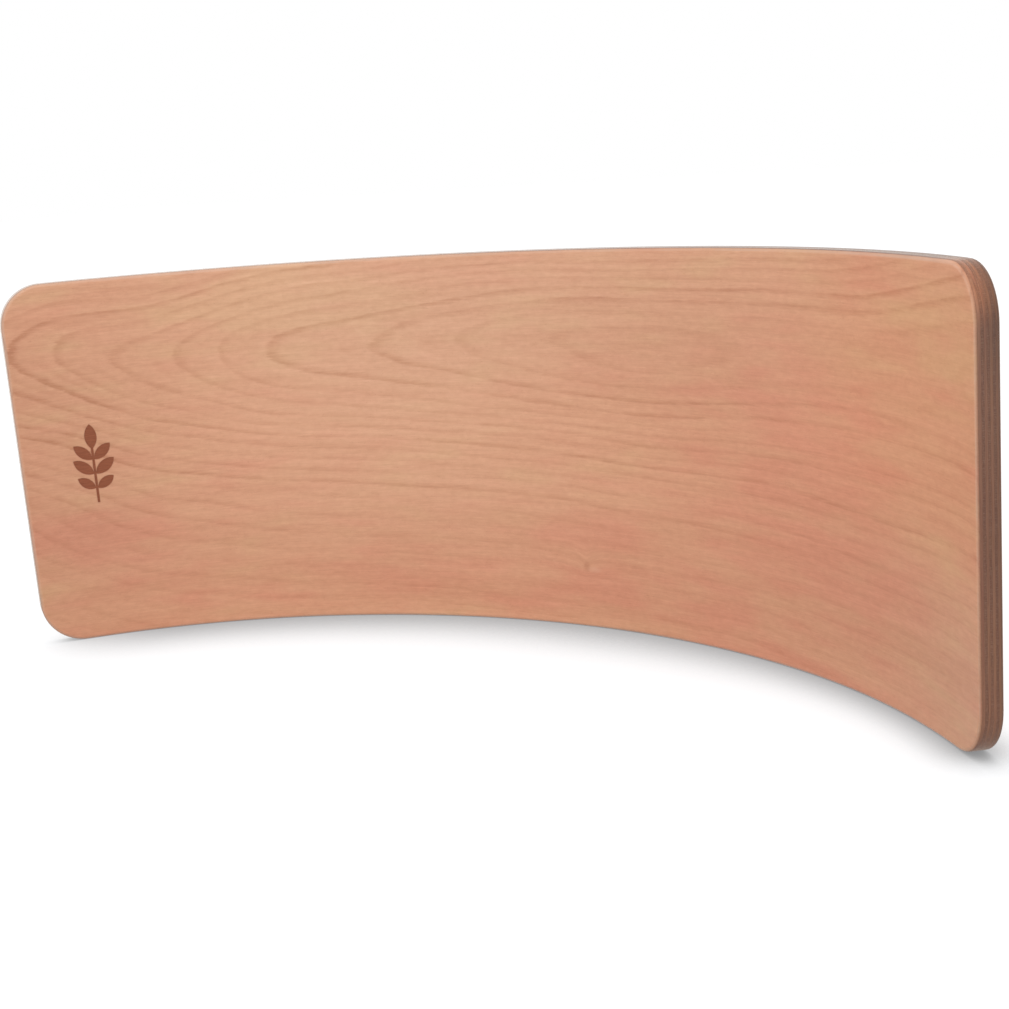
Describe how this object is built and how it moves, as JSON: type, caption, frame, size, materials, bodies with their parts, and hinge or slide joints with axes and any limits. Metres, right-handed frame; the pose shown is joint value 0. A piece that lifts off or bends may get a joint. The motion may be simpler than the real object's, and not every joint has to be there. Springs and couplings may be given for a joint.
{
  "type": "balance board",
  "caption": "Curved wooden balance board of crosswise-glued beech veneers, standing on one long edge; rocks on its belly, or stands as an arch.",
  "frame": {"origin": "bottom centre of the bounding box: on the floor under the middle of the board, half way between the tips' inner edges and the belly's crest", "axes": "+Z across the board's width, up when it stands on its long edge; +X along its length; +Y from the open concave side to the belly"},
  "size_m": [0.8034, 0.1982, 0.3],
  "materials": {
    "face_veneer": "steamed beech, rotary cut, sanded, clear satin lacquer",
    "long_grain_veneer": "steamed beech veneer, grain along the board; end grain at the two ends",
    "crossband_veneer": "steamed beech veneer, grain across the board; end grain along the two long edges",
    "glue": "cured resin glue line, brown"
  },
  "bodies": {
    "root": {"veneer_1_face": "face_veneer", "veneer_2_crossband": "crossband_veneer", "veneer_3_long_grain": "long_grain_veneer", "veneer_4_crossband": "crossband_veneer", "veneer_5_centre_core": "long_grain_veneer", "veneer_6_crossband": "crossband_veneer", "veneer_7_long_grain": "long_grain_veneer", "veneer_8_crossband": "crossband_veneer", "veneer_9_back": "face_veneer", "glue_line_1_2": "glue", "glue_line_2_3": "glue", "glue_line_3_4": "glue", "glue_line_4_5": "glue", "glue_line_5_6": "glue", "glue_line_6_7": "glue", "glue_line_7_8": "glue", "glue_line_8_9": "glue"}
  },
  "joints": []
}
